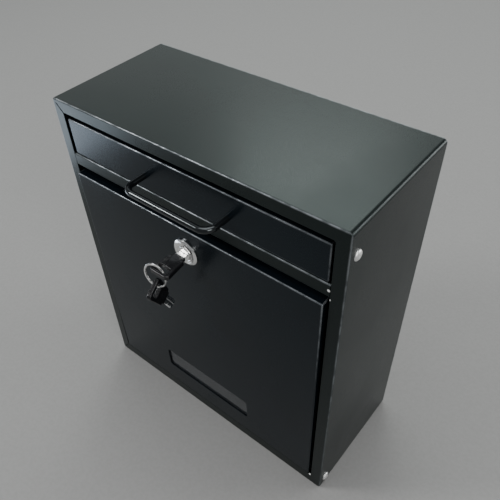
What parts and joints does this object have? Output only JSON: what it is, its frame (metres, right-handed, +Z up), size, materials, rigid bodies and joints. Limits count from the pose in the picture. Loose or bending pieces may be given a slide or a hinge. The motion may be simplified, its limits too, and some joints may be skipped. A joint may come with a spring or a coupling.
{
  "type": "wall mailbox",
  "caption": "Lockable sheet-steel letter box for a wall, with a drop flap and wire handle above, a tilting door with a small window below, and a cam lock with its keys.",
  "frame": {"origin": "centre of the flat back face, which lies against the wall", "axes": "+Z up, +Y back into the wall, +X to the right of someone facing the front"},
  "size_m": [0.2638, 0.1577, 0.304],
  "materials": {
    "casing_paint": "satin black powder coat with a fine texture",
    "panel_paint": "semi-gloss black powder coat",
    "handle_paint": "gloss black dipped wire",
    "pin_nickel": "bright nickel plate",
    "lock_chrome": "bright nickel plate, lightly scratched",
    "zinc_steel": "zinc plate",
    "key_nickel": "nickel plate, worn at the edges",
    "key_plastic": "moulded black plastic",
    "bush_plastic": "moulded black nylon",
    "smoked_pane": "smoked clear acrylic"
  },
  "bodies": {
    "casing": {"casing_shell": "casing_paint", "back_panel": "casing_paint", "cross_rail": "casing_paint", "flap_pin_left": "pin_nickel", "flap_pin_right": "pin_nickel", "door_pin_left": "pin_nickel", "door_pin_right": "pin_nickel", "flap_spacer_left": "bush_plastic", "flap_spacer_right": "bush_plastic", "door_spacer_left": "bush_plastic", "door_spacer_right": "bush_plastic"},
    "flap": {"drop_flap": "panel_paint", "pull_handle": "handle_paint", "handle_screw_left": "zinc_steel", "handle_screw_right": "zinc_steel"},
    "door": {"door_panel": "panel_paint", "window_pane": "smoked_pane", "pane_retainer": "panel_paint", "lock_housing": "lock_chrome", "lock_washer": "zinc_steel", "lock_nut": "zinc_steel"},
    "lock_core": {"lock_plug": "lock_chrome", "lock_cam": "zinc_steel", "cam_washer": "zinc_steel", "cam_screw": "zinc_steel"},
    "key": {"key_blade": "key_nickel", "key_head": "key_plastic"},
    "ring": {"key_ring": "key_nickel"},
    "spare_key": {"spare_key_blade": "key_nickel", "spare_key_head": "key_plastic"}
  },
  "joints": [
    {"name": "flap_hinge", "type": "hinge", "parent": "casing", "child": "flap", "pos_m": [0, -0.1055, 0.131], "axis": [-1, 0, 0], "range_deg": [0, 80]},
    {"name": "door_hinge", "type": "hinge", "parent": "casing", "child": "door", "pos_m": [0, -0.106, -0.1408], "axis": [1, 0, 0], "range_deg": [-0.7, 40]},
    {"name": "lock_turn", "type": "hinge", "parent": "door", "child": "lock_core", "pos_m": [0, -0.11656, 0.06889], "axis": [0, 0.9999, 0.0122], "range_deg": [0, 90]},
    {"name": "key_slide", "type": "slide", "parent": "lock_core", "child": "key", "axis": [0, -0.9999, -0.0122], "range_m": [0, 0.022]},
    {"name": "ring_swing", "type": "hinge", "parent": "key", "child": "ring", "pos_m": [-0.00722, -0.1448, 0.069], "axis": [0, 1, 0], "range_deg": [-10, 10]},
    {"name": "spare_key_swing", "type": "hinge", "parent": "ring", "child": "spare_key", "pos_m": [-0.00568, -0.14588, 0.05301], "axis": [1, 0, 0], "range_deg": [-20, 20]}
  ]
}
